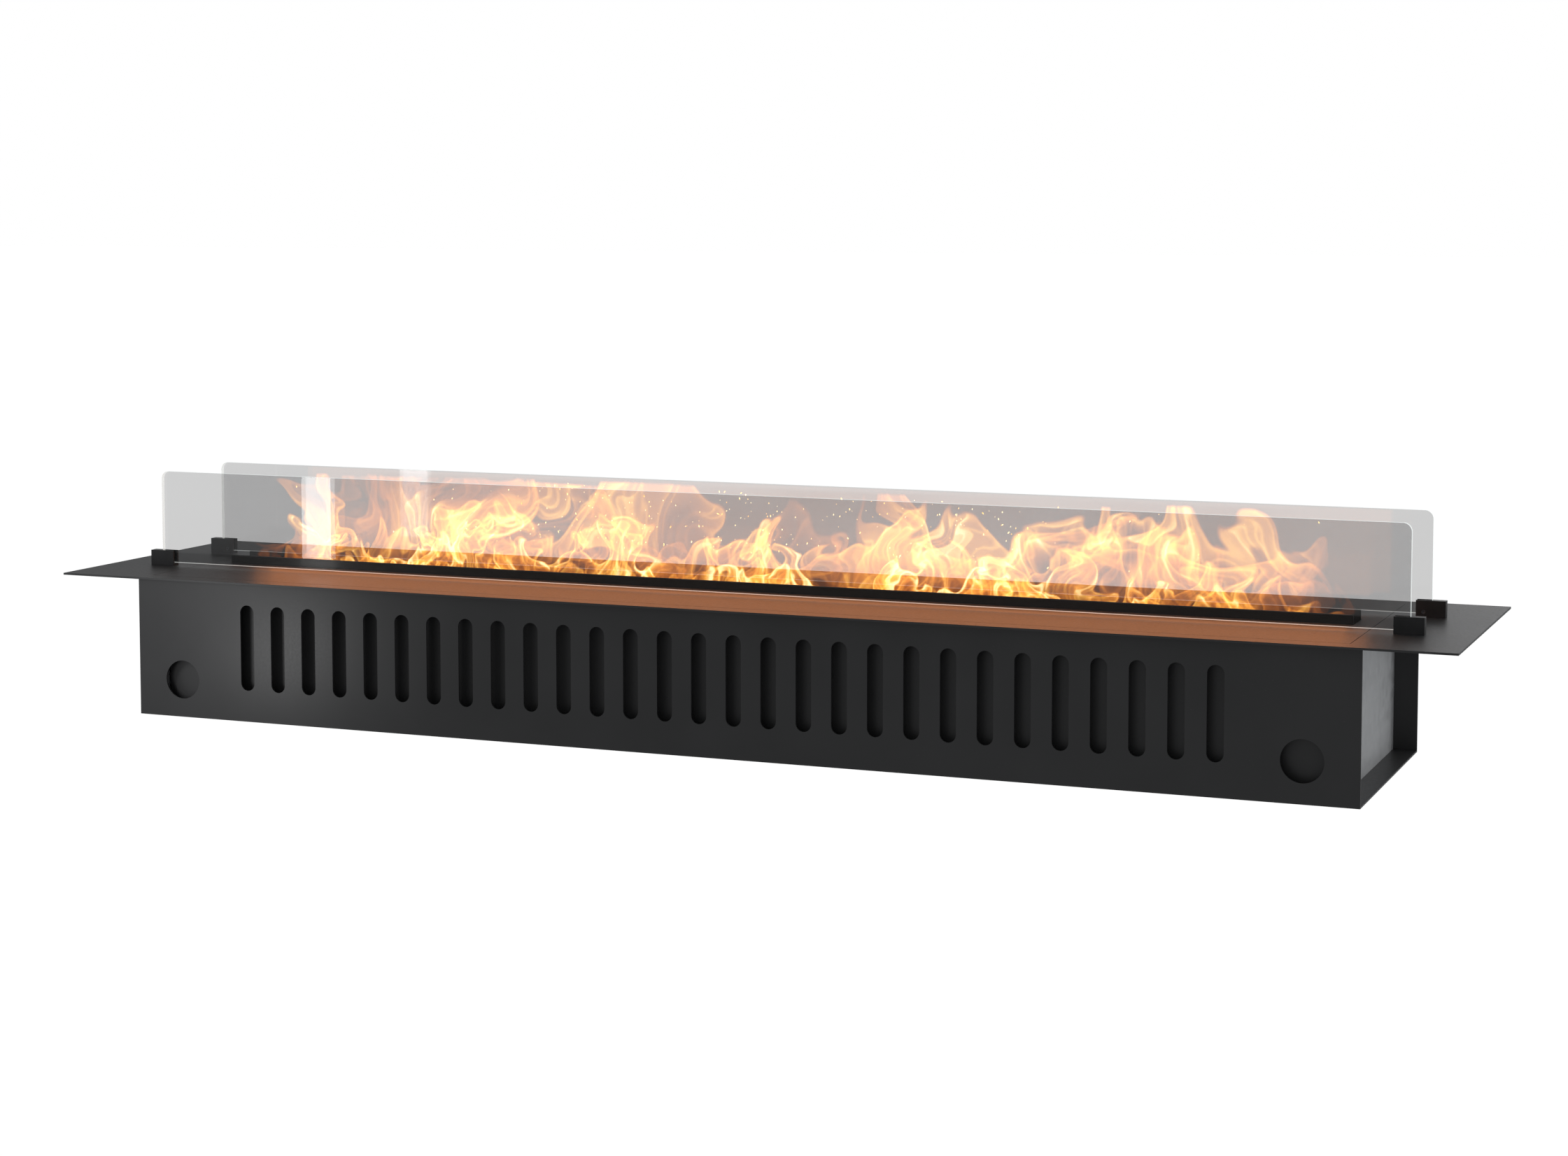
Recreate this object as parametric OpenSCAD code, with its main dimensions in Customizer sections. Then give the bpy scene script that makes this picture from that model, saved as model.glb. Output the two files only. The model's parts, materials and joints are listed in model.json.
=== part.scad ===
// Built-in mist-flame fireplace insert: a long sheet-metal casing with a wide top flange,
// a flush cover plate with a flame channel, and two glass panes that stand in slotted holders.
// Origin: centre of the casing's underside. +X runs along the casing, -Y is the front, +Z is up.

/* [Casing] */
// Length of the casing
casing_l = 1600; // [1560:1:1640]
// Depth of the casing, front to rear
casing_d = 360; // [356:1:370]
// Height of the casing under the flange
casing_h = 180; // [175:1:200]
// Thickness of the casing's sheet
sheet_t = 2; // [1.5:0.1:2.5]
// How far the end plates are set back from the casing's ends
end_recess = 29; // [28:0.5:32]
// Thickness of the end plates
end_t = 1.5; // [1:0.1:2]

/* [Vents and ports] */
// Number of vent slots in the front panel
vent_count = 29; // [1:1:29]
// Distance from one vent slot to the next
vent_pitch = 45.4; // [30:0.1:46]
// Width of a vent slot
vent_w = 20; // [10:0.5:24]
// Height of a vent slot, over its round ends
vent_h = 111; // [60:1:120]
// Height of the slots' centre above the base
vent_z = 96; // [80:1:100]
// Diameter of the two round service ports
port_d = 50; // [30:1:60]
// Distance of each port from the middle of the casing
port_x = 734.5; // [700:0.5:740]
// Height of the ports' centre above the base
port_z = 49; // [40:1:60]

/* [Top] */
// Length of the top flange
flange_l = 1814; // [1780:1:1840]
// Depth of the top flange
flange_d = 390; // [380:1:400]
// Thickness of the flange and of the cover plate
flange_t = 2.5; // [2:0.1:3]
// Length of the cover plate
cover_l = 1568; // [1562:1:1570]
// Depth of the cover plate
cover_d = 338; // [330:1:340]
// Gap round the cover plate
cover_gap = 0.7; // [0.5:0.1:1]
// Height of the channel lips above the cover plate
lip_h = 11; // [8:0.5:15]
// Length of the channel lips
lip_l = 1518; // [1500:1:1519]
// Distance across the outer faces of the channel lips
lip_span = 46.6; // [44:0.1:47]

/* [Glass] */
// Length of a glass pane
glass_l = 1667; // [1664:1:1668]
// Height of a glass pane
glass_h = 122.5; // [80:0.5:200]
// Thickness of the glass
glass_t = 6; // [5:0.5:6]
// Distance from the middle to each pane
glass_y = 72; // [71:0.5:80]
// Height of the panes' lower edge above the flange
glass_lift = 4; // [3:0.5:6]
// Radius of the panes' upper corners
glass_r = 10; // [3:1:20]
// Length of a holder block
holder_l = 35; // [30:1:40]
// Depth of a holder block
holder_d = 12; // [11:0.5:14]
// Height of a holder block
holder_h = 20; // [18:0.5:30]

/* [Fans] */
// Side of a fan's square frame
fan_w = 80; // [78:1:82]
// Height of a fan's frame
fan_h = 25; // [24:1:30]
// Number of blades on a fan
fan_blades = 7; // [5:1:9]

/* [Hidden] */

$fn = 48;
// Extra depth of a cutting shape past the face it cuts
cut = 1;

half_l = casing_l / 2;
half_d = casing_d / 2;
in_y = half_d - sheet_t;          // inner faces of the front and rear panels
end_x = half_l - end_recess;      // outer faces of the end plates
cav_x = end_x - end_t;            // inner faces of the end plates
top_z = casing_h + flange_t;      // top face of the flange and the cover plate

ledge_w = 18;
ledge_t = 1.5;
ledge_drop = 14;
end_lip = 19;                     // the end plates' folded lip, under the cover's ends

channel_half = lip_span / 2;
lip_t = 2;
channel_gap = 0.7;

rail_h = 10;
rail_w = 30;
rail_t = 1.5;
rail_xs = [-600, -300, 0, 300, 600];
tank_x = 700;
tank_y0 = -60;
tank_y1 = 125;
tank_z = sheet_t + rail_h;
tank_wall = 3;
tank_top = 88;
lid_x = 762;
lid_y0 = -65;
lid_y1 = 130;
lid_t = 3;
lid_z = tank_top + lid_t;         // top face of the tank's lid
mist_slot_x = 690;
mist_slot_half = 11;

maker_xs = [for (i = [-4:4]) i * 150];
maker_d = 40;
maker_h = 14;
disc_d = 20;
disc_t = 1;

led_pitch = 50;
led_half_count = 14;
led_strip_x = 750;
led_strip_w = 8;
led_strip_t = 1.6;
led_y = 16.5;
led_size = 5;
led_h = 1.6;

fan_y = 78;
fan_xs = [-460, 0, 460];
fan_bore = fan_w - 4;
fan_hub_d = 30;
fan_shaft_d = 3;
running_gap = 0.05;

float_x = -655;
float_y = 60;
float_d = 26;
float_h = 22;
float_stem_d = 6;
float_foot_h = 4;
float_rest_gap = 0.3;             // the ring's height above the foot, at rest
float_stop_z = 52;                // the collar that ends the ring's rise

box_x0 = 300;
box_x1 = 660;
box_y0 = -150;
box_y1 = -74;
box_z0 = sheet_t;
box_z1 = 66;
box_t = 1.2;
board_z = 14;
board_t = 1.6;

inlet_y = -110;
inlet_z = 60;
switch_z = 112;
inlet_flange_t = 3;
inlet_depth = 24;
contact_end = 18;
button_y = -62;
button_zs = [118, 98];
button_d = 8;
bezel_d = 14;
bezel_t = 4;
water_y = 60;
water_z = 60;
drain_y = 104;
drain_z = 28;
drain_lever_z = 62;

// What passes through the left end plate: half sizes across and up, or diameters
inlet_half = [14, 10];
switch_half = [9, 14];
barrel_d = 10;
inlet_thread_d = 26.4;
drain_body_d = 13;
lever_boss_d = 12;
spindle_d = 6;
wall_gap = 0.2;                   // room on each side of it

valve_pipe_d = 14;
coil_x = end_t + 25;              // the valve coil's axis, from the end plate's outer face
coil_stem_d = 18;

// A box between two corners
module slab(a, b) translate(a) cube(b - a);

// A rod of diameter d from a along +X for a length
module rod_x(a, d, len) translate(a) rotate([0, 90, 0]) cylinder(d = d, h = len);

// The same shape at both ends or on both sides
module both(v) { children(); mirror(v) children(); }

// ---- casing -------------------------------------------------------------------------------

module vent() {
    straight = (vent_h - vent_w) / 2;
    slab([-vent_w / 2, -half_d - cut, vent_z - straight], [vent_w / 2, -in_y + cut, vent_z + straight]);
    for (side = [-1, 1])
        translate([0, -in_y + cut, vent_z + side * straight])
            rotate([90, 0, 0]) cylinder(d = vent_w, h = sheet_t + 2 * cut);
}

module casing_front() color([0.16, 0.16, 0.17]) difference() {
    slab([-half_l, -half_d, 0], [half_l, -in_y, casing_h]);
    for (i = [0:vent_count - 1])
        translate([(i - (vent_count - 1) / 2) * vent_pitch, 0, 0]) vent();
    both([1, 0, 0]) translate([port_x, -in_y + cut, port_z])
        rotate([90, 0, 0]) cylinder(d = port_d, h = sheet_t + 2 * cut, $fn = 64);
}

module casing_floor() color([0.14, 0.14, 0.15]) slab([-half_l, -in_y, 0], [half_l, in_y, sheet_t]);

module casing_rear() color([0.14, 0.14, 0.15]) slab([-half_l, in_y, 0], [half_l, half_d, casing_h]);

// A plate with its top folded outward under the cover and its foot folded inward on the floor
module end_plate() {
    foot_l = 14;
    foot_y0 = 100;
    foot_y1 = 138;
    slab([cav_x, -in_y, sheet_t], [end_x, in_y, casing_h]);
    slab([end_x, -in_y, casing_h - end_t], [end_x + end_lip, in_y, casing_h]);
    both([0, 1, 0]) slab([cav_x - foot_l, foot_y0, sheet_t], [cav_x, foot_y1, sheet_t + end_t]);
}

module end_plate_right() color([0.55, 0.56, 0.57]) end_plate();

// Openings through the left end plate
module window(y, z, half) translate([-end_x, y, z])
    slab([-cut, -half.x - wall_gap, -half.y - wall_gap],
        [end_t + cut, half.x + wall_gap, half.y + wall_gap]);

module hole(y, z, d) rod_x([-end_x - cut, y, z], d + 2 * wall_gap, end_t + 2 * cut);

// The left plate also has the holes for the service connections
module end_plate_left() color([0.55, 0.56, 0.57]) difference() {
    mirror([1, 0, 0]) end_plate();
    window(inlet_y, inlet_z, inlet_half);
    window(inlet_y, switch_z, switch_half);
    for (z = button_zs) hole(button_y, z, barrel_d);
    hole(water_y, water_z, inlet_thread_d);
    hole(drain_y, drain_z, drain_body_d);
    hole(drain_y, drain_lever_z, lever_boss_d);
}

// ---- top ----------------------------------------------------------------------------------

module top_flange() color([0.2, 0.2, 0.21]) difference() {
    slab([-flange_l / 2, -flange_d / 2, casing_h], [flange_l / 2, flange_d / 2, top_z]);
    slab([-cover_l / 2 - cover_gap, -cover_d / 2 - cover_gap, casing_h - cut],
        [cover_l / 2 + cover_gap, cover_d / 2 + cover_gap, top_z + cut]);
}

module cover_ledges() color([0.14, 0.14, 0.15]) both([0, 1, 0]) {
    ledge_z = casing_h - ledge_t;
    slab([-cav_x, -in_y, ledge_z], [cav_x, -in_y + ledge_w, casing_h]);
    slab([-cav_x, -in_y, casing_h - ledge_drop], [cav_x, -in_y + ledge_t, ledge_z]);
}

module cover_plate() color([0.2, 0.2, 0.21]) difference() {
    slab([-cover_l / 2, -cover_d / 2, casing_h], [cover_l / 2, cover_d / 2, top_z]);
    slab([-lip_l / 2 - cut, -channel_half - channel_gap, casing_h - cut],
        [lip_l / 2 + cut, channel_half + channel_gap, top_z + cut]);
}

// ---- glass --------------------------------------------------------------------------------

module pane() {
    straight = glass_l / 2 - glass_r;
    rotate([90, 0, 0]) linear_extrude(glass_t, center = true) {
        translate([-glass_l / 2, 0]) square([glass_l, glass_h - glass_r]);
        translate([-straight, 0]) square([2 * straight, glass_h]);
        for (side = [-1, 1]) translate([side * straight, glass_h - glass_r]) circle(glass_r);
    }
}

module glass_front() color([0.75, 0.8, 0.8, 0.4]) translate([0, -glass_y, top_z + glass_lift]) pane();

module glass_rear() color([0.75, 0.8, 0.8, 0.4]) translate([0, glass_y, top_z + glass_lift]) pane();

holder_x0 = glass_l / 2 - 18.5;
slot_gap = 0.3;
holder_slot_end = glass_l / 2 + 0.5;
screw_x = holder_x0 + 9;
screw_z = top_z + 6.5;
screw_d = 5;
screw_depth = 3;
screw_inset = 0.4;
socket_d = 2.9;
socket_depth = 1.6;

// The front right block: a slot takes the pane, and a set screw's hole opens in the inner face
module holder() difference() {
    inner_y = -glass_y + holder_d / 2;
    slab([holder_x0, inner_y - holder_d, top_z], [holder_x0 + holder_l, inner_y, top_z + holder_h]);
    slab([holder_x0 - cut, -glass_y - glass_t / 2 - slot_gap, top_z + glass_lift - slot_gap],
        [holder_slot_end, -glass_y + glass_t / 2 + slot_gap, top_z + holder_h + cut]);
    translate([screw_x, inner_y + cut, screw_z]) rotate([90, 0, 0])
        cylinder(d = screw_d, h = cut + screw_depth);
}

module holder_front_right() color([0.15, 0.15, 0.16]) holder();

module holder_front_left() color([0.15, 0.15, 0.16]) mirror([1, 0, 0]) holder();

module holder_rear_right() color([0.15, 0.15, 0.16]) mirror([0, 1, 0]) holder();

module holder_rear_left() color([0.15, 0.15, 0.16]) mirror([1, 0, 0]) mirror([0, 1, 0]) holder();

// A set screw just under the face, with a six-sided socket
module holder_screws() color([0.3, 0.3, 0.31]) both([1, 0, 0]) both([0, 1, 0])
    translate([screw_x, -glass_y + holder_d / 2 - screw_inset, screw_z]) rotate([90, 0, 0]) difference() {
        cylinder(d = screw_d, h = screw_depth - screw_inset);
        translate([0, 0, -cut]) cylinder(d = socket_d, h = cut + socket_depth, $fn = 6);
    }

// ---- tank and mist channel ------------------------------------------------------------------

// The wall behind the vents, open along its top for the air
module front_baffle() color([0.12, 0.12, 0.13]) {
    baffle_x = 764;
    baffle_y = -162;
    slab([-baffle_x, baffle_y - 1.2, sheet_t], [baffle_x, baffle_y, 170]);
    slab([-baffle_x, baffle_y, sheet_t], [baffle_x, baffle_y + 11, sheet_t + 1.2]);
}

module tank_rails() color([0.55, 0.56, 0.57]) for (x = rail_xs) difference() {
    slab([x - rail_w / 2, tank_y0, sheet_t], [x + rail_w / 2, tank_y1, tank_z]);
    slab([x - rail_w / 2 + rail_t, tank_y0 - cut, sheet_t - cut],
        [x + rail_w / 2 - rail_t, tank_y1 + cut, tank_z - rail_t]);
}

module water_tank() color([0.2, 0.2, 0.2]) difference() {
    slab([-tank_x, tank_y0, tank_z], [tank_x, tank_y1, tank_top]);
    slab([-tank_x + tank_wall, tank_y0 + tank_wall, tank_z + tank_wall],
        [tank_x - tank_wall, tank_y1 - tank_wall, tank_top + cut]);
    rod_x([-tank_x - cut, water_y, water_z], valve_pipe_d + 2 * wall_gap, tank_wall + 2 * cut);
    rod_x([-tank_x - cut, drain_y, drain_z], drain_body_d + 2 * wall_gap, tank_wall + 2 * cut);
}

module tank_lid() color([0.2, 0.2, 0.2]) difference() {
    slab([-lid_x, lid_y0, tank_top], [lid_x, lid_y1, lid_z]);
    slab([-mist_slot_x, -mist_slot_half, tank_top - cut], [mist_slot_x, mist_slot_half, lid_z + cut]);
    for (x = fan_xs) translate([x, fan_y, tank_top - cut]) cylinder(d = fan_bore, h = lid_t + 2 * cut);
}

module mist_makers() color([0.5, 0.5, 0.52]) for (x = maker_xs)
    translate([x, 0, tank_z + tank_wall]) difference() {
        union() {
            cylinder(d = maker_d, h = maker_h - 4);
            cylinder(d = maker_d - 8, h = maker_h);
        }
        translate([0, 0, maker_h - 3]) cylinder(d = disc_d, h = 3 + cut);
    }

module transducer_discs() color([0.75, 0.6, 0.35]) for (x = maker_xs)
    translate([x, 0, tank_z + tank_wall + maker_h - 3]) cylinder(d = disc_d - 0.2, h = disc_t);

// A tall plate on a folded foot; its upper edge is the lip that shows above the cover
module channel_plate() {
    foot_w = 12;
    foot_t = 1.2;
    slab([-lip_l / 2, -channel_half, lid_z], [lip_l / 2, -channel_half + lip_t, top_z + lip_h]);
    slab([-lip_l / 2, -channel_half - foot_w, lid_z], [lip_l / 2, -channel_half, lid_z + foot_t]);
}

module channel_plate_front() color([0.08, 0.08, 0.08]) channel_plate();

module channel_plate_rear() color([0.08, 0.08, 0.08]) mirror([0, 1, 0]) channel_plate();

// The small end walls, which stop below the cover
module channel_ends() color([0.08, 0.08, 0.08]) both([1, 0, 0])
    slab([lip_l / 2 - lip_t, -channel_half + lip_t, lid_z],
        [lip_l / 2, channel_half - lip_t, casing_h - ledge_t]);

module led_strip() slab([-led_strip_x, -led_y - led_strip_w / 2, lid_z],
    [led_strip_x, -led_y + led_strip_w / 2, lid_z + led_strip_t]);

module led_strip_front() color([0.9, 0.9, 0.88]) led_strip();

module led_strip_rear() color([0.9, 0.9, 0.88]) mirror([0, 1, 0]) led_strip();

module led_row() for (i = [-led_half_count:led_half_count])
    translate([i * led_pitch, -led_y, lid_z + led_strip_t + led_h / 2])
        cube([led_size, led_size, led_h], center = true);

module leds_front() color([1, 0.85, 0.5]) led_row();

module leds_rear() color([1, 0.85, 0.5]) mirror([0, 1, 0]) led_row();

// ---- fans -----------------------------------------------------------------------------------

// A square frame with a round bore, and a shaft on a motor plate held by four arms
module fan_frame() {
    screw_hole_d = 4.3;
    screw_hole_xy = fan_w / 2 - 4.2;
    arm_w = 4;
    motor_h = 4;
    difference() {
        translate([0, 0, fan_h / 2]) cube([fan_w, fan_w, fan_h], center = true);
        translate([0, 0, -cut]) cylinder(d = fan_bore, h = fan_h + 2 * cut);
        for (x = [-1, 1], y = [-1, 1]) translate([x * screw_hole_xy, y * screw_hole_xy, -cut])
            cylinder(d = screw_hole_d, h = fan_h + 2 * cut);
    }
    for (a = [45:90:315]) rotate([0, 0, a])
        slab([fan_hub_d / 2 - 1, -arm_w / 2, 0], [fan_bore / 2 + 1, arm_w / 2, motor_h - 1]);
    cylinder(d = fan_hub_d, h = motor_h);
    cylinder(d = fan_shaft_d, h = fan_h - 4);
}

// A hub that turns on the shaft, with flat pitched blades
module fan_rotor() {
    blade_r = fan_bore / 2 - 1;
    blade_t = 1.6;
    blade_pitch = 42;
    rotor_z = 5;
    rotor_h = fan_h - 8;
    difference() {
        union() {
            translate([0, 0, rotor_z]) cylinder(d = fan_hub_d, h = rotor_h);
            intersection() {
                translate([0, 0, rotor_z + 1]) cylinder(r = blade_r, h = rotor_h - 2);
                for (i = [0:fan_blades - 1]) rotate([0, 0, i * 360 / fan_blades])
                    translate([0, 0, rotor_z + rotor_h / 2]) rotate([blade_pitch, 0, 0])
                        slab([fan_hub_d / 2 - 3, -blade_t / 2, -fan_h], [blade_r + 2, blade_t / 2, fan_h]);
            }
        }
        translate([0, 0, rotor_z - cut]) cylinder(d = fan_shaft_d + 2 * running_gap, h = rotor_h + 2 * cut);
    }
}

module fan_at(i) translate([fan_xs[i], fan_y, lid_z]) children();

module fan_frame_left() color([0.1, 0.1, 0.1]) fan_at(0) fan_frame();

module fan_frame_middle() color([0.1, 0.1, 0.1]) fan_at(1) fan_frame();

module fan_frame_right() color([0.1, 0.1, 0.1]) fan_at(2) fan_frame();

module fan_rotor_left() color([0.15, 0.15, 0.15]) fan_at(0) fan_rotor();

module fan_rotor_middle() color([0.15, 0.15, 0.15]) fan_at(1) fan_rotor();

module fan_rotor_right() color([0.15, 0.15, 0.15]) fan_at(2) fan_rotor();

// ---- float ----------------------------------------------------------------------------------

module float_stem() color([0.6, 0.6, 0.62]) translate([float_x, float_y, tank_z + tank_wall]) {
    cylinder(d = 16, h = float_foot_h);
    cylinder(d = float_stem_d, h = tank_top - tank_z - tank_wall);
    translate([0, 0, float_stop_z]) cylinder(d = 10, h = 3);
}

module float_ring() color([0.85, 0.85, 0.82])
    translate([float_x, float_y, tank_z + tank_wall + float_foot_h + float_rest_gap]) difference() {
        cylinder(d = float_d, h = float_h);
        translate([0, 0, -cut]) cylinder(d = float_stem_d + 2 * running_gap, h = float_h + 2 * cut);
    }

// ---- electrics ------------------------------------------------------------------------------

module control_box() color([0.55, 0.56, 0.57]) difference() {
    slab([box_x0, box_y0, box_z0], [box_x1, box_y1, box_z1]);
    slab([box_x0 + box_t, box_y0 + box_t, box_z0 + box_t], [box_x1 - box_t, box_y1 - box_t, box_z1 + cut]);
}

module control_box_lid() color([0.55, 0.56, 0.57])
    slab([box_x0 - 1, box_y0 - 1, box_z1], [box_x1 + 1, box_y1 + 1, box_z1 + box_t]);

module control_board() color([0.1, 0.35, 0.2]) {
    slab([box_x0 + 12, box_y0 + 8, board_z], [box_x1 - 12, box_y1 - 8, board_z + board_t]);
    for (x = [box_x0 + 20, box_x1 - 20], y = [box_y0 + 14, box_y1 - 14])
        translate([x, y, box_z0 + box_t]) cylinder(d = 6, h = board_z - box_z0 - box_t);
}

module board_components() color([0.15, 0.15, 0.2]) translate([box_x0, box_y0, board_z + board_t]) {
    translate([30, 18, 0]) cube([50, 40, 34]);
    translate([95, 20, 0]) cube([28, 14, 16]);
    translate([95, 42, 0]) cube([28, 14, 16]);
    for (i = [0:3]) translate([145 + i * 18, 28, 0]) cylinder(d = 13, h = 24);
    translate([225, 24, 0]) cube([22, 22, 4]);
    for (i = [0:3]) translate([262 + i * 17, 52, 0]) cube([14, 11, 12]);
}

// A sealed supply with a fixing ear at each end
module led_driver() color([0.7, 0.7, 0.72]) difference() {
    union() {
        slab([-60, -140, sheet_t], [140, -86, sheet_t + 32]);
        slab([-75, -125, sheet_t], [155, -101, sheet_t + 2]);
    }
    for (x = [-68, 148]) translate([x, -113, sheet_t - cut]) cylinder(d = 4.5, h = 2 + 2 * cut);
}

// A recessed three-contact inlet in a flanged housing
module mains_inlet() color([0.08, 0.08, 0.08]) translate([-end_x, inlet_y, inlet_z]) difference() {
    wall = 2;
    ear_y = 20;
    union() {
        slab([-inlet_flange_t, -ear_y - 5, -15], [0, ear_y + 5, 15]);
        slab([0, -inlet_half.x, -inlet_half.y], [inlet_depth, inlet_half.x, inlet_half.y]);
    }
    slab([-inlet_flange_t - cut, wall - inlet_half.x, wall - inlet_half.y],
        [contact_end, inlet_half.x - wall, inlet_half.y - wall]);
    for (y = [-ear_y, ear_y]) rod_x([-inlet_flange_t - cut, y, 0], 3.5, inlet_flange_t + 2 * cut);
}

module inlet_contacts() color([0.8, 0.8, 0.78]) translate([-end_x, inlet_y, inlet_z])
    for (p = [[-7, -2], [0, 3], [7, -2]]) slab([4, p.x - 1, p.y - 2], [contact_end, p.x + 1, p.y + 2]);

rocker_pin_d = 2;
rocker_tilt = 7;
rocker_half_w = 7;
switch_depth = 16;

// The bezel, the well behind it and the rocker's pin
module switch_frame() color([0.08, 0.08, 0.08]) translate([-end_x, inlet_y, switch_z]) {
    difference() {
        union() {
            slab([-3, -switch_half.x - 2, -switch_half.y - 2], [0, switch_half.x + 2, switch_half.y + 2]);
            slab([0, -switch_half.x, -switch_half.y], [switch_depth, switch_half.x, switch_half.y]);
        }
        slab([-4, -rocker_half_w - 0.4, -11.2], [9, rocker_half_w + 0.4, 11.2]);
    }
    translate([0, rocker_half_w + 1, 0]) rotate([90, 0, 0])
        cylinder(d = rocker_pin_d, h = 2 * rocker_half_w + 2);
}

// A V-shaped rocker, at rest with its lower half pressed
module power_rocker() color([0.12, 0.12, 0.12]) translate([-end_x, inlet_y, switch_z])
    rotate([0, -rocker_tilt, 0]) rotate([90, 0, 0]) difference() {
        linear_extrude(2 * rocker_half_w, center = true)
            polygon([[3.5, -8], [-4.5, -10], [-2.6, 0], [-4.5, 10], [3.5, 8]]);
        translate([0, 0, -rocker_half_w - cut])
            cylinder(d = rocker_pin_d + 2 * running_gap, h = 2 * (rocker_half_w + cut));
    }

module button_bezels() color([0.3, 0.3, 0.31]) for (z = button_zs)
    translate([-end_x, button_y, z]) difference() {
        union() {
            rod_x([-bezel_t, 0, 0], bezel_d, bezel_t);
            rod_x([0, 0, 0], barrel_d, 14);
        }
        rod_x([-bezel_t - cut, 0, 0], button_d + 0.8, 8 + bezel_t + cut);
    }

module button(z) rod_x([-end_x - bezel_t - 1.8, button_y, z], button_d, 8);

module mode_button() color([0.1, 0.1, 0.1]) button(button_zs[0]);

module level_button() color([0.1, 0.1, 0.1]) button(button_zs[1]);

// ---- water ----------------------------------------------------------------------------------

module water_inlet() color([0.75, 0.62, 0.35]) translate([-end_x, water_y, water_z]) difference() {
    union() {
        rod_x([-20, 0, 0], inlet_thread_d, 20 + end_t + 1);
        rod_x([-5, 0, 0], 36, 5);
        rod_x([end_t, 0, 0], 32, 4);
    }
    rod_x([-20 - cut, 0, 0], 18, 30);
}

module fill_valve() color([0.85, 0.85, 0.82]) translate([-end_x, water_y, water_z]) difference() {
    union() {
        rod_x([end_t + 4, 0, 0], 30, 42);
        rod_x([end_t + 46, 0, 0], valve_pipe_d, 30);
        translate([coil_x, 0, 0]) cylinder(d = coil_stem_d, h = 24);
    }
    rod_x([end_t + 30, 0, 0], 8, 60);
}

// A square coil on the valve's stem
module valve_coil() color([0.15, 0.15, 0.16]) translate([-end_x + coil_x, water_y, water_z + 15.4])
    difference() {
        coil_w = 30;
        coil_h = 12;
        translate([-coil_w / 2, -coil_w / 2, 0]) cube([coil_w, coil_w, coil_h]);
        translate([0, 0, -cut]) cylinder(d = coil_stem_d + 2 * running_gap, h = coil_h + 2 * cut);
    }

// The outlet spout, the body behind the plate and the lever's spindle boss
module drain_tap() color([0.75, 0.62, 0.35]) translate([-end_x, drain_y, drain_z]) {
    difference() {
        union() {
            rod_x([-22, 0, 0], 14, 20);
            rod_x([-2, 0, 0], 20, 2);
            rod_x([-1, 0, 0], drain_body_d, 76 + end_t);
            rod_x([end_t, 0, 0], 20, 20);
            slab([end_t, -8, 0], [end_t + 16, 8, drain_lever_z - drain_z + 8]);
            rod_x([-6, 0, drain_lever_z - drain_z], lever_boss_d, 6 + end_t);
        }
        rod_x([-22 - cut, 0, 0], 9, 110);
    }
    rod_x([-16, 0, drain_lever_z - drain_z], spindle_d, 11);
}

// A flat lever with a round eye, at rest pointing up (closed)
module drain_lever() color([0.7, 0.1, 0.1]) translate([-end_x, drain_y, drain_lever_z]) difference() {
    union() {
        rod_x([-12, 0, 0], 14, 5.5);
        slab([-11, -4, 0], [-8, 4, 36]);
        rod_x([-11, 0, 36], 8, 3);
    }
    rod_x([-12 - cut, 0, 0], spindle_d + 2 * running_gap, 9);
}

// ---- wiring ---------------------------------------------------------------------------------

function unit(v) = v / norm(v);

// The route with each corner rounded, starting the bend a distance r before the corner
function rounded(pts, r) = [
    pts[0],
    for (i = [1:len(pts) - 2], t = [0:0.25:1])
        pts[i] + unit(pts[i - 1] - pts[i]) * r * (1 - t) ^ 2 + unit(pts[i + 1] - pts[i]) * r * t ^ 2,
    pts[len(pts) - 1]
];

// The direction of the route at each point
function headings(pts) = [for (i = [0:len(pts) - 1])
    unit(pts[min(i + 1, len(pts) - 1)] - pts[max(i - 1, 0)])];

// A sideways direction at each point, carried along so that the tube doesn't twist
function sideways(dirs, last, i = 0) = i == len(dirs) ? [] :
    let (side = unit(last - (last * dirs[i]) * dirs[i])) concat([side], sideways(dirs, side, i + 1));

wire_sides = 8;
bend = 12;

// A round wire of diameter d along a route with rounded corners
module wire(route, d) {
    pts = rounded(route, bend);
    dirs = headings(pts);
    sides = sideways(dirs, unit([0.3, 0.5, 0.8]));
    n = wire_sides;
    rings = [for (i = [0:len(pts) - 1], k = [0:n - 1])
        let (a = 360 * k / n) pts[i] + (sides[i] * cos(a) + cross(dirs[i], sides[i]) * sin(a)) * d / 2];
    walls = [for (i = [0:len(pts) - 2], k = [0:n - 1], half = [0, 1])
        let (p = i * n + k, q = i * n + (k + 1) % n)
            half == 0 ? [p, p + n, q + n] : [p, q + n, q]];
    polyhedron(rings, concat([[for (k = [0:n - 1]) k]], walls,
        [[for (k = [n - 1:-1:0]) (len(pts) - 1) * n + k]]));
}

module mains_wiring() color([0.1, 0.1, 0.1]) {
    inlet_x = -end_x + inlet_depth;
    turn_x = -720;
    live_y = inlet_y + 7;
    feed_y = inlet_y - 7;
    wire([[inlet_x, live_y, inlet_z], [turn_x, live_y, inlet_z], [turn_x, live_y, switch_z],
        [-end_x + switch_depth, live_y, switch_z]], 5);
    wire([[inlet_x, feed_y, inlet_z], [turn_x, feed_y, inlet_z], [turn_x, feed_y, 20], [-200, -128, 20],
        [-160, -146, 44], [200, -146, 44], [240, -112, 30], [box_x0, -112, 30]], 6);
}

module led_wiring() color([0.6, 0.1, 0.1])
    wire([[140, -100, 24], [190, -100, 24], [190, -80, 96], [190, -channel_half, 96]], 4);

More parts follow.
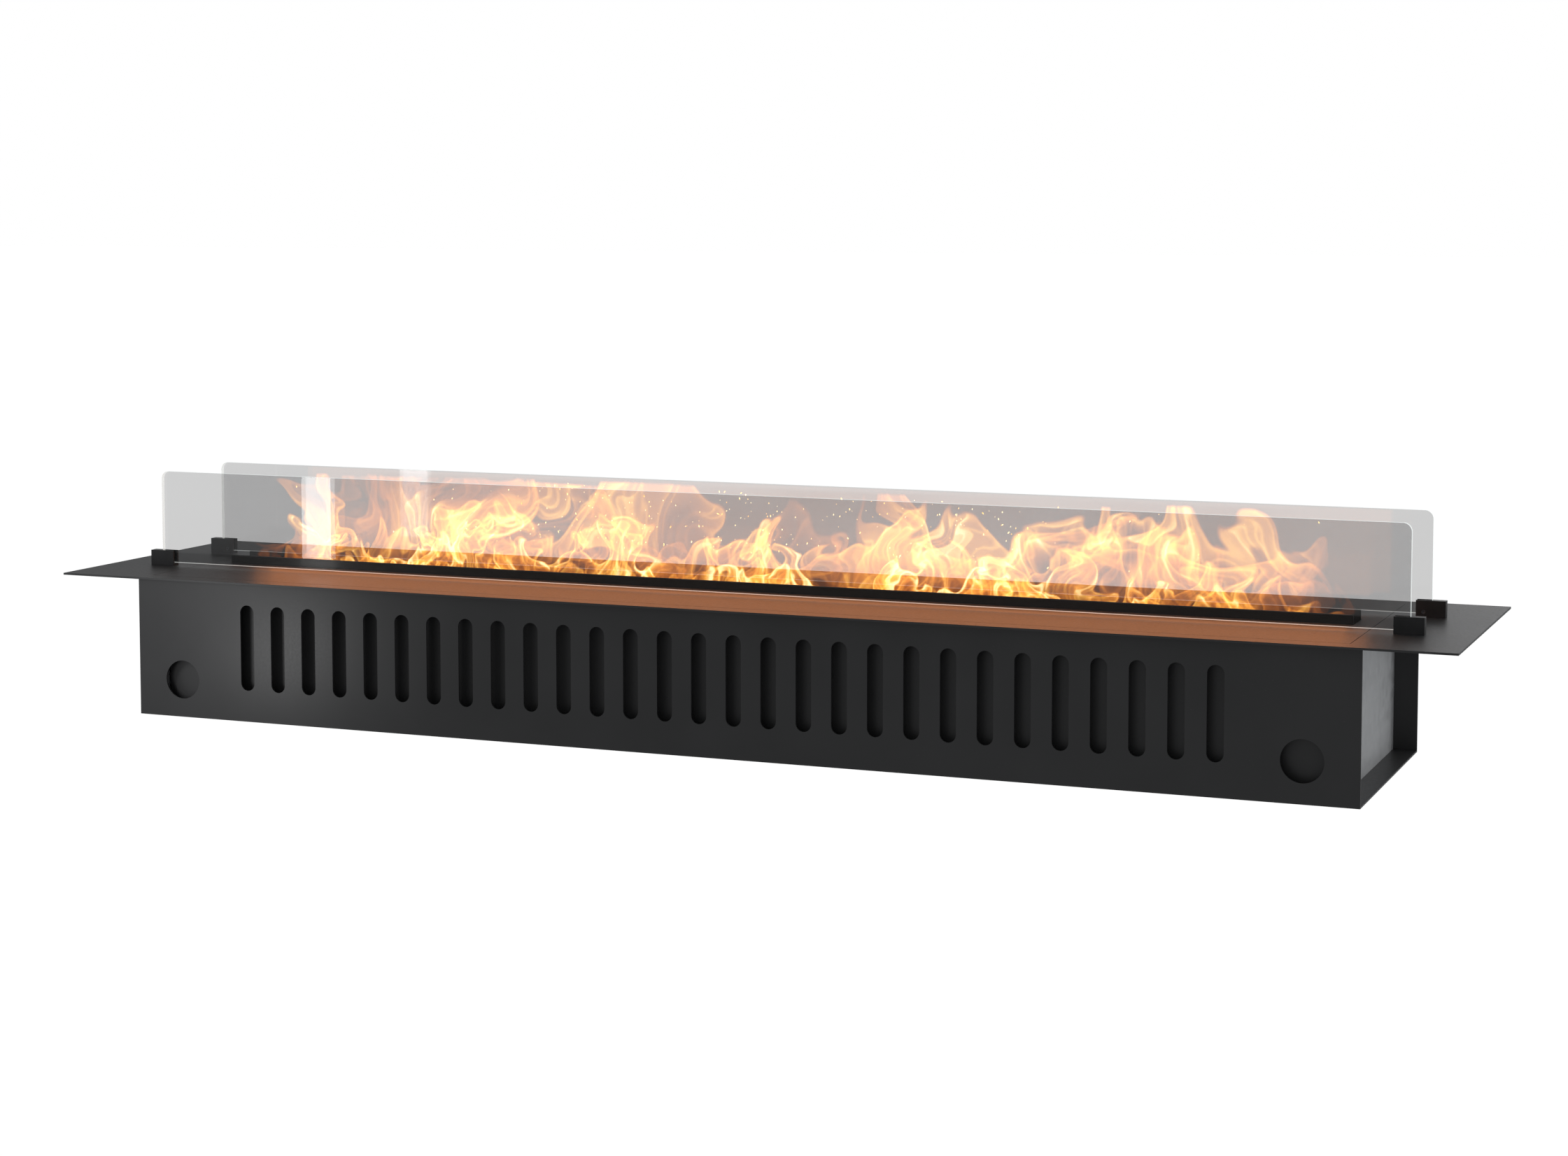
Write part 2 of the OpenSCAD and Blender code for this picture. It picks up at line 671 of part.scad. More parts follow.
casing_front();
casing_floor();
casing_rear();
end_plate_left();
end_plate_right();
top_flange();
cover_ledges();
cover_plate();
glass_front();
glass_rear();
holder_front_left();
holder_front_right();
holder_rear_left();
holder_rear_right();
holder_screws();
front_baffle();
tank_rails();
water_tank();
tank_lid();
mist_makers();
transducer_discs();
channel_plate_front();
channel_plate_rear();
channel_ends();
led_strip_front();
led_strip_rear();
leds_front();
leds_rear();
fan_frame_left();
fan_frame_middle();
fan_frame_right();
fan_rotor_left();
fan_rotor_middle();
fan_rotor_right();
float_stem();
float_ring();
control_box();
control_box_lid();
control_board();
board_components();
led_driver();
mains_inlet();
inlet_contacts();
switch_frame();
power_rocker();
button_bezels();
mode_button();
level_button();
water_inlet();
fill_valve();
valve_coil();
drain_tap();
drain_lever();
mains_wiring();
led_wiring();
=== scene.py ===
"""A built-in water-mist fireplace insert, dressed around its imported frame."""

import json
import math

import bpy
import numpy as np
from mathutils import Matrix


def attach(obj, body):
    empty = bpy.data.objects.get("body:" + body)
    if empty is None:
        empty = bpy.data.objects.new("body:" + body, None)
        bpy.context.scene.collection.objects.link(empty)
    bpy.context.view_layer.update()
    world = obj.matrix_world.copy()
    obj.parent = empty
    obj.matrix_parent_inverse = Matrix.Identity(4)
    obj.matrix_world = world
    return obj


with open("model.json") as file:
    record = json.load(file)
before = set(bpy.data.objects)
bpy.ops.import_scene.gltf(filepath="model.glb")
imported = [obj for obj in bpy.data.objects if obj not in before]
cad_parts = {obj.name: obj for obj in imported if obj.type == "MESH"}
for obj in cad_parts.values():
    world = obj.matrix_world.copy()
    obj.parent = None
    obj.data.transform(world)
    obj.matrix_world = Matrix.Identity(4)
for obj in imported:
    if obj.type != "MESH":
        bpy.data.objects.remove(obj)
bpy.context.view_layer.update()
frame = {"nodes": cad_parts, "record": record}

NODES = frame["nodes"]
SCENE = bpy.context.scene
WHITE = (1.0, 1.0, 1.0)
BLACK = (0.0, 0.0, 0.0)

# ---- node helpers ---------------------------------------------------------------------------

EASED_EDGE = 0.0004  # the radius of the softening that a bump gives to every edge


class Recipe:
    """One Principled material and short ways to wire its nodes."""

    def __init__(self, name, color, roughness, metallic=0.0):
        self.material = bpy.data.materials.new(name)
        self.material.use_nodes = True
        self.tree = self.material.node_tree
        self.shader = self.tree.nodes["Principled BSDF"]
        self.put("Base Color", (*color, 1.0))
        self.put("Roughness", roughness)
        self.put("Metallic", metallic)
        self.place = self.add("ShaderNodeTexCoord").outputs["Object"]

    def add(self, kind, **inputs):
        """A node of that kind; an input's name has _ for each space."""
        made = self.tree.nodes.new(kind)
        for key, value in inputs.items():
            self.feed(made.inputs[key.replace("_", " ")], value)
        return made

    def feed(self, socket, value):
        """Links a socket to a socket, or sets its value."""
        if isinstance(value, bpy.types.NodeSocket):
            self.tree.links.new(value, socket)
        else:
            socket.default_value = value

    def put(self, name, value):
        """Sets or links one of the shader's inputs."""
        self.feed(self.shader.inputs[name], value)

    def stretched(self, scale):
        """Object coordinates, stretched by a factor along each axis."""
        made = self.add("ShaderNodeMapping", Vector=self.place)
        made.inputs["Scale"].default_value = scale
        return made.outputs["Vector"]

    def noise(self, scale, detail=2.0, roughness=0.5, place=None):
        """Soft noise with that many bumps to the metre."""
        made = self.add("ShaderNodeTexNoise", Vector=place or self.place, Scale=scale, Detail=detail)
        made.inputs["Roughness"].default_value = roughness
        return made.outputs["Fac"]

    def cells(self, scale, output="Distance", place=None):
        """Random cells, that many to the metre."""
        made = self.add("ShaderNodeTexVoronoi", Vector=place or self.place, Scale=scale)
        return made.outputs[output]

    def span(self, value, low, high, to_low=0.0, to_high=1.0):
        """value from low..high to to_low..to_high, held at both ends."""
        made = self.add("ShaderNodeMapRange", Value=value)
        made.inputs["From Min"].default_value = low
        made.inputs["From Max"].default_value = high
        made.inputs["To Min"].default_value = to_low
        made.inputs["To Max"].default_value = to_high
        return made.outputs["Result"]

    def carried(self, name):
        """A value that the mesh's own points carry."""
        made = self.add("ShaderNodeAttribute")
        made.attribute_name = name
        return made.outputs["Fac"]

    def math(self, operation, a, b):
        """The result of a Math node."""
        made = self.add("ShaderNodeMath")
        made.operation = operation
        self.feed(made.inputs[0], a)
        self.feed(made.inputs[1], b)
        return made.outputs["Value"]

    def blend(self, factor, a, b):
        """Colour a where factor is 0, and colour b where it is 1."""
        made = self.add("ShaderNodeMix")
        made.data_type = "RGBA"
        self.feed(made.inputs["Factor"], factor)
        for name, value in (("A", a), ("B", b)):
            socket = next(s for s in made.inputs if s.name == name and s.type == "RGBA")
            linked = isinstance(value, bpy.types.NodeSocket)
            self.feed(socket, value if linked else (*value, 1.0))
        return next(s for s in made.outputs if s.type == "RGBA")

    def bump(self, height, distance, strength):
        """Surface relief, over edges that are eased by a small radius."""
        eased = self.add("ShaderNodeBevel", Radius=EASED_EDGE)
        made = self.add("ShaderNodeBump", Height=height, Distance=distance, Strength=strength)
        self.feed(made.inputs["Normal"], eased.outputs["Normal"])
        self.put("Normal", made.outputs["Normal"])


# ---- materials --------------------------------------------------------------------------------


def shade(color, factor):
    """The colour made darker or lighter by a factor."""
    return tuple(factor * c for c in color)


def powder_coat(name, color, roughness):
    """Satin black powder coat: orange peel, slow cloudiness, a little dust."""
    r = Recipe(name, color, roughness)
    cloud = r.noise(9.0, 3.0)
    coat = r.blend(r.span(cloud, 0.3, 0.7), shade(color, 0.86), shade(color, 1.12))
    dust = r.span(r.cells(130.0), 0.03, 0.05, 0.16, 0.0)
    where = r.span(r.noise(4.0), 0.5, 0.62)
    r.put("Base Color", r.blend(r.math("MULTIPLY", dust, where), coat, (0.34, 0.33, 0.32)))
    peel = r.span(r.noise(300.0, 2.0), 0.3, 0.7, roughness - 0.02, roughness + 0.02)
    r.put("Roughness", peel)
    r.bump(r.noise(900.0, 1.0), 0.000012, 0.5)
    return r.material


def zinc(name):
    """Galvanised sheet with faint spangle."""
    r = Recipe(name, (0.42, 0.43, 0.44), 0.5, 0.55)
    spangle = r.cells(95.0, "Color")
    streak = r.noise(30.0, 4.0, 0.6, r.stretched((1.0, 0.25, 2.2)))
    tone = r.math("ADD", r.math("MULTIPLY", spangle, 0.35), r.math("MULTIPLY", streak, 0.65))
    r.put("Base Color", r.blend(r.span(tone, 0.2, 0.8), (0.40, 0.41, 0.42), (0.50, 0.51, 0.52)))
    r.put("Roughness", r.span(spangle, 0.0, 1.0, 0.46, 0.56))
    r.bump(r.noise(420.0, 2.0), 0.00004, 0.4)
    return r.material


def pane_glass(name):
    """Grey safety glass, clear on its faces, with pale ground edges that glow with a painted
    highlight.

    Alpha weakens its reflections, and the high index of refraction makes up for that.
    """
    dark = (0.02, 0.022, 0.022)
    r = Recipe(name, dark, 0.0)
    facing = r.add("ShaderNodeNewGeometry").outputs["True Normal"]
    normal = r.add("ShaderNodeSeparateXYZ", Vector=facing)
    edge = r.span(r.math("ABSOLUTE", normal.outputs["Y"], 0.0), 0.55, 0.8, 1.0, 0.0)
    grain = r.span(r.noise(260.0, 2.0), 0.3, 0.7)
    ground = r.blend(grain, (0.80, 0.84, 0.83), (0.92, 0.95, 0.94))
    r.put("Base Color", r.blend(edge, dark, ground))
    # painted highlight: the edges glow faintly by emission, standing in for light caught on them
    r.put("Emission Color", r.blend(edge, BLACK, (0.78, 0.84, 0.82)))
    r.put("Emission Strength", 0.9)
    r.put("Alpha", r.span(edge, 0.0, 1.0, 0.238, 0.5))
    r.put("Roughness", r.span(edge, 0.0, 1.0, 0.0, 0.35))
    r.put("IOR", 2.35)
    return r.material


def anodised(name, color):
    """Fine-blasted anodised aluminium."""
    r = Recipe(name, color, 0.36)
    tone = r.span(r.noise(60.0, 3.0), 0.3, 0.7)
    r.put("Base Color", r.blend(tone, shade(color, 0.8), shade(color, 1.25)))
    r.put("Roughness", r.span(r.noise(700.0, 2.0), 0.3, 0.7, 0.32, 0.44))
    r.bump(r.noise(1600.0, 1.0), 0.00002, 0.5)
    return r.material


def metal(name, color, roughness, stretch=(1.0, 1.0, 1.0)):
    """Machined or drawn metal with a directional grain."""
    r = Recipe(name, color, roughness, 1.0)
    grain = r.noise(480.0, 3.0, 0.6, r.stretched(stretch))
    tone = r.span(grain, 0.3, 0.7)
    r.put("Base Color", r.blend(tone, shade(color, 0.85), color))
    r.put("Roughness", r.span(grain, 0.3, 0.7, roughness - 0.06, roughness + 0.08))
    r.bump(grain, 0.00002, 0.4)
    return r.material


def plastic(name, color, roughness, texture=900.0):
    """Moulded plastic with a fine spark-eroded texture."""
    r = Recipe(name, color, roughness)
    tone = r.span(r.noise(40.0, 2.0), 0.3, 0.7)
    r.put("Base Color", r.blend(tone, shade(color, 0.88), shade(color, 1.1)))
    wear = r.span(r.noise(texture / 2, 2.0), 0.3, 0.7, roughness - 0.04, roughness + 0.04)
    r.put("Roughness", wear)
    r.bump(r.noise(texture, 1.0), 0.00003, 0.4)
    return r.material


def printed_board(name, color, trace):
    """Solder mask with buried tracks."""
    r = Recipe(name, color, 0.3)
    track = r.span(r.cells(260.0, place=r.stretched((1.0, 3.0, 1.0))), 0.35, 0.4)
    r.put("Base Color", r.blend(track, color, trace))
    r.put("Roughness", r.span(r.noise(300.0), 0.3, 0.7, 0.26, 0.36))
    r.bump(track, 0.00002, 0.5)
    return r.material


def phosphor(name):
    """A lit warm-white LED: yellow phosphor whose tone and glow vary with a fine random grain."""
    r = Recipe(name, (0.95, 0.72, 0.28), 0.35)
    grain = r.span(r.noise(1500.0, 2.0), 0.3, 0.7)
    r.put("Base Color", r.blend(grain, (0.9, 0.62, 0.2), (1.0, 0.8, 0.36)))
    r.put("Emission Color", r.blend(grain, (1.0, 0.42, 0.10), (1.0, 0.55, 0.18)))
    r.put("Emission Strength", 3.0)
    return r.material


FINISHES = {
    "black_coated_steel": powder_coat("black_coated_steel", (0.027, 0.027, 0.028), 0.42),
    # painted shade: the mist channel's plates get a darker copy of the black powder coat
    "channel_shaded_black": powder_coat("channel_shaded_black", (0.007, 0.007, 0.0072), 0.5),
    "galvanised_steel": zinc("galvanised_steel"),
    "clear_glass": pane_glass("clear_glass"),
    "black_anodised": anodised("black_anodised", (0.016, 0.016, 0.017)),
    "steel_screw": metal("steel_screw", (0.16, 0.16, 0.17), 0.4),
    "black_plastic": plastic("black_plastic", (0.02, 0.02, 0.021), 0.45),
    "rotor_plastic": plastic("rotor_plastic", (0.035, 0.035, 0.037), 0.4),
    "gloss_black": plastic("gloss_black", (0.012, 0.012, 0.013), 0.18, 300.0),
    "white_plastic": plastic("white_plastic", (0.66, 0.66, 0.63), 0.38),
    "stainless": metal("stainless", (0.55, 0.55, 0.56), 0.3, (1.0, 1.0, 6.0)),
    "brass": metal("brass", (0.62, 0.44, 0.18), 0.3, (4.0, 1.0, 1.0)),
    "led_board": printed_board("led_board", (0.74, 0.74, 0.72), (0.66, 0.67, 0.66)),
    "led_phosphor": phosphor("led_phosphor"),
    "green_board": printed_board("green_board", (0.015, 0.11, 0.04), (0.03, 0.17, 0.06)),
    "component_black": plastic("component_black", (0.03, 0.03, 0.034), 0.4, 500.0),
    "red_lever": plastic("red_lever", (0.45, 0.02, 0.02), 0.35),
    "wire_black": plastic("wire_black", (0.02, 0.02, 0.02), 0.42),
    "wire_red": plastic("wire_red", (0.38, 0.02, 0.02), 0.42),
}


MIST_CHANNEL = ("channel_plate_front", "channel_plate_rear", "channel_ends")


def dress_nodes():
    """Gives every CAD node the finish of its record slot; the mist channel gets a darker black as
    painted shade.
    """
    slots = {s["node"]: s.get("material_slot", s["node"]) for s in frame["record"]["subparts"]}
    # the channel's darker black is painted shade, not a finish of its own
    slots.update(dict.fromkeys(MIST_CHANNEL, "channel_shaded_black"))
    for name, node in NODES.items():
        node.data.materials.clear()
        node.data.materials.append(FINISHES[slots[name]])


# ---- flames -----------------------------------------------------------------------------------
# The lit mist is a stack of thin luminous curtains. Each is a random rising flow, followed back
# from every grid point to where its mist came from, so that tongues curl as the flow does.

FLAME_HALF = 0.76  # half the length of the fire
FLAME_BASE = 0.176  # the height of its foot, between the channel's plates
FLAME_HEIGHT = 0.1315  # up to just under the panes' upper edge
FLAME_STEP = 0.0011  # spacing of a curtain's points
FLOW_STEP = 0.0025  # spacing of the flow's grid
FLOW_STEPS = 20  # steps along the flow, back to where the mist came from
CHANNEL_ROOM = 0.0185  # how far the fire may reach to the front or rear inside the channel
GLASS_ROOM = 0.062  # and between the panes
THINNEST = 0.03  # a curtain leaves out cells that are less dense than this
# Seeds of what is random; each curtain has its own as well, and FOLD_SEED is added to that
HOLLOW_SEED = 12
HAZE_SEED = 64
SPARK_SEED = 77
MIST_SEED = 91
FOLD_SEED = 1000
# How far the fire rises over its least height: rise, place from the middle, width
LEAST_TALL = 0.042
PEAKS = (
    (0.024, -0.61, 0.07),
    (0.034, -0.38, 0.20),
    (0.016, 0.02, 0.12),
    (0.028, 0.42, 0.15),
    (0.016, 0.66, 0.04),
)
# Sizes of the flow's eddies, each with its share
EDDIES = ((0.12, 1.0), (0.06, 0.76), (0.032, 0.52), (0.017, 0.28))
# Widths of the tongues, each with its share of the raggedness
TONGUES = ((0.13, 0.42), (0.055, 0.30), (0.02, 0.15))
# Width and height of the folds, strands, threads and gaps in the mist
TEXTURES = ((0.040, 0.070), (0.020, 0.050), (0.008, 0.028), (0.070, 0.060))


def smooth(v, low, high):
    """0 below low and 1 above high, with a soft step between."""
    t = np.clip((v - low) / (high - low), 0, 1)
    return t * t * (3 - 2 * t)


def sheet_grid(left, right, low, high, step):
    """Coordinates of a flat grid of points that starts at left and low."""
    across = np.arange(left, right + step / 2, step)
    return np.meshgrid(across, np.arange(low, high + step / 2, step))


def bell(v, middle, width):
    """A bell curve of height 1."""
    return np.exp(-(((v - middle) / width) ** 2))


def spline_weights(t):
    """The four weights of a cubic spline at each place t along a lattice."""
    f = t - np.floor(t)
    return (
        (1 - f) ** 3 / 6,
        (3 * f**3 - 6 * f**2 + 4) / 6,
        (-3 * f**3 + 3 * f**2 + 3 * f + 1) / 6,
        f**3 / 6,
    )


def soft_noise(rng, shape, step, wave_z, wave_x):
    """A smooth random field on a grid of that shape, with bumps of those sizes and a spread of 1."""
    cells = [max(1, round(n * step / wave)) for n, wave in zip(shape, (wave_z, wave_x))]
    lattice = rng.standard_normal((cells[0] + 4, cells[1] + 4))
    rows, cols = (np.linspace(0, c, n) for c, n in zip(cells, shape))
    i, j = rows.astype(int), cols.astype(int)
    across = sum(
        w[:, None] * lattice[np.minimum(i + k, cells[0] + 3)]
        for k, w in enumerate(spline_weights(rows))
    )
    field = sum(
        w[None, :] * across[:, np.minimum(j + k, cells[1] + 3)]
        for k, w in enumerate(spline_weights(cols))
    )
    return field / field.std()


def read_field(field, x, z, step):
    """The field's values at the points x, z."""
    gx = np.clip(x / step, 0, field.shape[1] - 1.001)
    gz = np.clip(z / step, 0, field.shape[0] - 1.001)
    i, j = gx.astype(int), gz.astype(int)
    a, b = gx - i, gz - j
    low = field[j, i] * (1 - a) + field[j, i + 1] * a
    high = field[j + 1, i] * (1 - a) + field[j + 1, i + 1] * a
    return low * (1 - b) + high * b


def thin_line(field, width):
    """1 along the field's zero line, and never narrower than the grid can carry."""
    dz, dx = np.gradient(field)
    real = np.sqrt(width**2 + 1.2 * (dx**2 + dz**2))
    return np.exp(-((field / real) ** 2)) * (width / real) ** 0.6


def sheet_edge(field, fade):
    """Nothing below the field's zero line, 1 just above it, and a soft fade beyond."""
    dz, dx = np.gradient(field)
    sharp = np.sqrt(0.04**2 + 1.5 * (dx**2 + dz**2))
    return smooth(field / sharp, -1.0, 1.0) * np.exp(-np.clip(field, 0, None) / fade)


def tongue_height(x):
    """How tall the fire stands along the channel; x runs from its left end."""
    x = x - FLAME_HALF
    tall = LEAST_TALL + sum(rise * bell(x, middle, width) for rise, middle, width in PEAKS)
    return tall * smooth(x, -0.79, -0.58) * (1 - smooth(x, 0.66, 0.79))


def trace_back(rng, x, z, grain, curl):
    """Where the mist at each point came from."""
    shape = (int(1.5 * FLAME_HEIGHT / FLOW_STEP) + 2, int(2 * FLAME_HALF / FLOW_STEP) + 2)
    stream = np.zeros(shape)
    for wave, amount in EDDIES:
        wave *= grain
        stream += amount * wave * soft_noise(rng, shape, FLOW_STEP, wave, wave)
    rise = (np.arange(shape[0]) * FLOW_STEP)[:, None]
    calm = 0.25 * smooth(rise, 0.0, 0.015) + 0.75 * smooth(rise, 0.0, 0.055)
    u = calm * np.gradient(stream, FLOW_STEP, axis=0)
    w = -calm * np.gradient(stream, FLOW_STEP, axis=1)
    dt = curl / FLOW_STEPS
    for _ in range(FLOW_STEPS):
        half_x = x - 0.5 * dt * read_field(u, x, z, FLOW_STEP)
        half_z = z - 0.5 * dt * read_field(w, x, z, FLOW_STEP)
        x = x - dt * read_field(u, half_x, half_z, FLOW_STEP)
        z = z - dt * read_field(w, half_x, half_z, FLOW_STEP)
    return x, z


def flame_field(seed, tall, grain, curl, fullness, foot):
    """Density and heat of one curtain on its grid.

    tall, grain, curl: how tall the fire is, how coarse, and for how long the flow has bent it.
    fullness: how much mist fills the tongues. foot: how dense the fire is near the channel.
    """
    rng = np.random.default_rng(seed)
    x, z = sheet_grid(0, 2 * FLAME_HALF, 0, FLAME_HEIGHT, FLAME_STEP)
    from_x, from_z = trace_back(rng, x, z, grain, curl)

    # s is 1 at the foot of a tongue, 0 on its outline and less beyond it
    line = (2, x.shape[1])
    ragged = 1 + sum(
        amount * soft_noise(rng, line, FLAME_STEP, 1.0, wave * grain)[0]
        for wave, amount in TONGUES
    )
    top = np.clip(tall * ragged * tongue_height(x[0]), 0.003, None)
    s = 1 - from_z / read_field(np.stack([top, top]), from_x, 0 * from_x, FLAME_STEP)

    # The mist is bright along the outline and along the folds, ridges and threads inside it
    tall_shape = (int(1.5 * x.shape[0]), x.shape[1])

    def carried(wide, high):
        """A texture of that size, carried along by the flow."""
        texture = soft_noise(rng, tall_shape, FLAME_STEP, high * grain, wide * grain)
        return read_field(texture, from_x, from_z, FLAME_STEP)

    broad, strand, thread, gap = (carried(wide, high) for wide, high in TEXTURES)
    inside = smooth(s, 0.0, 0.12)
    limb = sheet_edge(s - 0.01, 0.16)
    fold = sheet_edge(broad - 0.1, 0.55) + 0.8 * sheet_edge(-0.5 - broad, 0.5)
    ridge = sheet_edge(strand, 0.5)
    hair = thin_line(thread, 0.30)
    fill = smooth(s, 0.0, 0.5) * np.clip(fullness + 0.10 * broad, 0, 1)
    density = 0.75 * limb + fill + inside * (0.52 * fold + 0.34 * ridge + 0.20 * hair)
    density = 1.15 * density**1.45 * (1 - 0.75 * smooth(gap, 0.3, 1.3))

    # It ends at the outline and below the panes' upper edge, and thins on the way up
    density *= smooth(s, -0.06, 0.06)
    density *= 1 - smooth(z, FLAME_HEIGHT - 0.006, FLAME_HEIGHT - 0.001)
    density *= 1 - 0.35 * smooth(z, 0.070, 0.125)

    # Near the channel foot sets its density, with hollows, and it is sparse at the left end
    low = 1 - smooth(z, 0.010, 0.065)
    hollow = soft_noise(np.random.default_rng(HOLLOW_SEED), line, FLAME_STEP, 1.0, 0.055)
    hollow = smooth(read_field(hollow, from_x, 0 * from_x, FLAME_STEP), -0.1, 1.1)
    sparse = 1 - smooth(x, 0.09, 0.28)
    density *= 1 - low * (1 - foot)
    density *= (1 - 0.35 * low * hollow) * (1 - 0.6 * low * sparse)

    # Both ends of the fire are ragged
    end = FLAME_HALF - np.abs(x - FLAME_HALF) + 0.02 * strand
    density = np.clip(density * smooth(end, 0.01, 0.14), 0, 2.0)
    heat = np.clip(0.85 * density, 0, 1)
    return x, z, density, heat


def flame_material(name, strength, reach):
    """Luminous mist: its colour from the heat it carries, its cover from its density.

    reach is the cover of mist whose density is 1, so strength times reach is its light.
    """
    r = Recipe(name, BLACK, 1.0)
    ramp = r.add("ShaderNodeValToRGB", Fac=r.carried("mist_heat"))
    low, high = ramp.color_ramp.elements
    low.position, low.color = 0.0, (1.0, 0.21, 0.012, 1.0)
    high.position, high.color = 1.0, (1.0, 0.66, 0.31, 1.0)
    middle = ramp.color_ramp.elements.new(0.5)
    middle.color = (1.0, 0.47, 0.065, 1.0)
    r.put("Emission Color", ramp.outputs["Color"])
    r.put("Emission Strength", strength)
    r.put("Specular IOR Level", 0.0)
    flicker = r.span(r.noise(420.0, 2.0), 0.3, 0.7, 0.85 * reach, reach)
    r.put("Alpha", r.math("MULTIPLY", r.carried("mist_cover"), flicker))
    r.material.cycles.emission_sampling = "NONE"
    return r.material


def sheet_mesh(name, points, keep, attributes):
    """A mesh over a grid of points, of the cells where keep is true at some corner."""
    rows, cols = keep.shape
    number = np.arange(rows * cols).reshape(rows, cols)
    corners = np.stack([number[:-1, :-1], number[:-1, 1:], number[1:, 1:], number[1:, :-1]], -1)
    cells = keep[:-1, :-1] | keep[:-1, 1:] | keep[1:, 1:] | keep[1:, :-1]
    faces = corners[cells]
    used, faces = np.unique(faces, return_inverse=True)
    mesh = bpy.data.meshes.new(name)
    mesh.from_pydata(points.reshape(-1, 3)[used].tolist(), [], faces.reshape(-1, 4).tolist())
    for key, values in attributes.items():
        layer = mesh.attributes.new(key, "FLOAT", "POINT")
        layer.data.foreach_set("value", values.reshape(-1)[used].astype(np.float32))
    return mesh


def light_only(piece):
    """Lets the mist be seen, and neither shade nor show in reflections."""
    piece.visible_diffuse = False
    piece.visible_glossy = False
    piece.visible_shadow = False


def add_piece(name, mesh, material, body="insert"):
    """A visual piece with one material, riding on a body."""
    piece = bpy.data.objects.new(name, mesh)
    SCENE.collection.objects.link(piece)
    mesh.materials.append(material)
    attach(piece, body)
    return piece


def make_curtain(name, seed, tall, grain, curl, fullness, foot, base_y, lean, material):
    """One curtain, as a left and a right half that meet along a row of shared points."""
    x, z, density, heat = flame_field(seed, tall, grain, curl, fullness, foot)
    rng = np.random.default_rng(seed + FOLD_SEED)
    up = z / FLAME_HEIGHT
    wave = soft_noise(rng, x.shape, FLAME_STEP, 0.3, 0.09 * grain + 0.02)
    y = base_y + lean * up**1.2 + wave * (0.002 + 0.008 * up)
    room = CHANNEL_ROOM + (GLASS_ROOM - CHANNEL_ROOM) * smooth(up, 0.14, 0.3)
    points = np.stack([x - FLAME_HALF, np.clip(y, -room, room), FLAME_BASE + z], -1)
    middle = x.shape[1] // 2
    for side, part in (("left", slice(0, middle + 1)), ("right", slice(middle, None))):
        facts = {"mist_cover": density[:, part], "mist_heat": heat[:, part]}
        mesh = sheet_mesh(f"{name}_{side}", points[:, part], density[:, part] > THINNEST, facts)
        light_only(add_piece(f"{name}_{side}", mesh, material))


# name, seed, tall, grain, curl, fullness, foot, place from the middle, lean to the rear
CURTAINS = (
    ("flame_tall_rear", 3, 1.85, 1.10, 0.0160, 0.20, 0.15, 0.012, 0.046),
    ("flame_tall_front", 8, 1.55, 0.95, 0.0150, 0.22, 0.25, 0.004, 0.020),
    ("flame_middle", 21, 1.15, 0.80, 0.0130, 0.18, 0.85, 0.000, 0.004),
    ("flame_low_rear", 34, 0.85, 0.58, 0.0115, 0.10, 1.65, 0.010, 0.012),
    ("flame_low_front", 55, 0.60, 0.42, 0.0095, 0.03, 2.40, -0.010, -0.010),
)


def make_flames():
    """The lit mist itself, as a stack of curtains."""
    material = flame_material("lit_mist", strength=37.0, reach=0.05)
    for name, *facts in CURTAINS:
        make_curtain(name, *facts, material)


def make_haze():
    """The thin vapour that hangs behind the fire, below the top of the panes."""
    rng = np.random.default_rng(HAZE_SEED)
    step = 0.004
    left, right, tall, base = -0.62, 0.72, 0.124, 0.1835
    x, z = sheet_grid(left, right, 0, tall, step)
    cloud = soft_noise(rng, x.shape, step, 0.07, 0.16)
    cloud += 0.6 * soft_noise(rng, x.shape, step, 0.03, 0.06)
    ends = smooth(x, left, -0.50) * (1 - smooth(x, 0.56, right))
    ends *= smooth(z, 0.0, 0.03) * (1 - smooth(z, 0.118, tall))
    cover = np.clip(0.55 + 0.30 * cloud, 0, 1) * ends
    y = 0.050 + 0.004 * soft_noise(rng, x.shape, step, 0.2, 0.12)
    points = np.stack([x, y, base + z], -1)
    mesh = sheet_mesh("haze", points, cover > 0.01, {"mist_cover": cover})
    r = Recipe("haze", (0.28, 0.24, 0.22), 1.0)
    tone = r.span(r.noise(14.0, 3.0), 0.3, 0.7)
    r.put("Base Color", r.blend(tone, (0.26, 0.23, 0.21), (0.34, 0.29, 0.26)))
    r.put("Specular IOR Level", 0.0)
    r.put("Alpha", r.math("MULTIPLY", r.carried("mist_cover"), 0.12))
    light_only(add_piece("haze", mesh, r.material))


# Clouds of sparks: place from the middle, spread, how many
SPARK_CLOUDS = ((-0.27, 0.07, 70), (-0.05, 0.09, 80), (0.22, 0.10, 60), (0.1, 0.3, 60))
SPARK_REACH = 0.72


